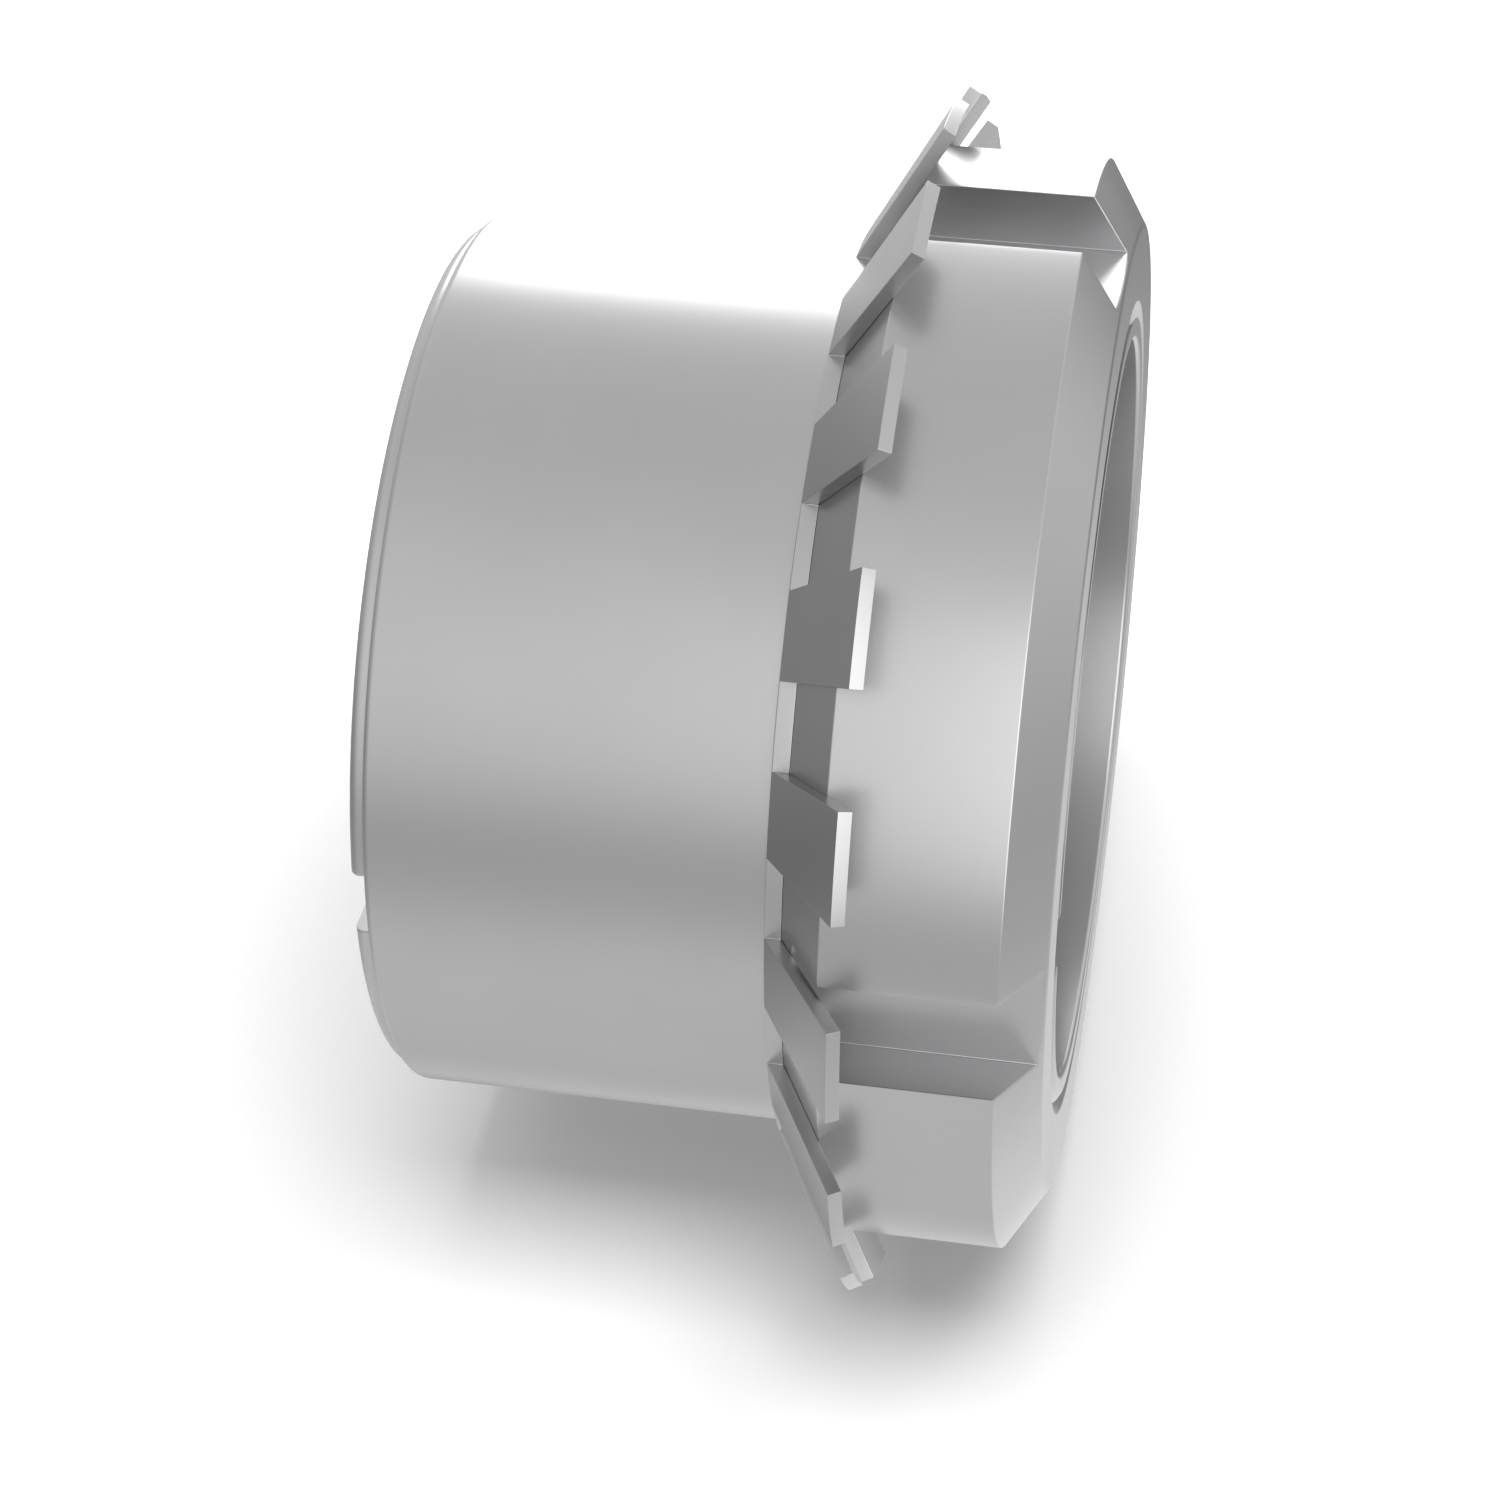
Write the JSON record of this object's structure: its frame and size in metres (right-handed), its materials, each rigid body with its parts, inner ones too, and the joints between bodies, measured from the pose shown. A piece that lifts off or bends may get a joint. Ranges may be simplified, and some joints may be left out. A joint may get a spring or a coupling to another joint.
{
  "type": "shaft locking assembly",
  "caption": "Cone clamping bush with a slit cone ring for the shaft, a slit taper ring for the hub, a tab washer and one central slotted nut.",
  "frame": {"origin": "centre of the inner ring's large end face, on which the assembly stands", "axes": "+Z along the shaft axis towards the nut; the slit of the inner ring faces -Y"},
  "size_m": [0.1136, 0.1142, 0.0622],
  "materials": {
    "turned_steel": "fine turned, satin",
    "sheet_steel": "cold rolled sheet, satin",
    "nut_steel": "fine turned, satin"
  },
  "bodies": {
    "inner_ring": {"inner_ring": "turned_steel"},
    "outer_ring": {"outer_ring": "turned_steel"},
    "lock_washer": {"lock_washer": "sheet_steel"},
    "lock_nut": {"lock_nut": "nut_steel"}
  },
  "joints": [
    {"name": "outer_ring_slide", "type": "slide", "parent": "inner_ring", "child": "outer_ring", "axis": [0, 0, 1], "range_m": [0, 0.004]},
    {"name": "washer_slide", "type": "slide", "parent": "inner_ring", "child": "lock_washer", "axis": [0, 0, 1], "range_m": [0, 0.004]},
    {"name": "nut_spin", "type": "hinge", "parent": "lock_washer", "child": "lock_nut", "pos_m": [0, 0, 0.0506], "axis": [0, 0, 1], "range_deg": [0, 720]}
  ],
  "couplings": [
    {"joint": "washer_slide", "follows": "nut_spin", "m_per_rad": 0.00031831},
    {"joint": "outer_ring_slide", "follows": "nut_spin", "m_per_rad": 0.00031831}
  ]
}
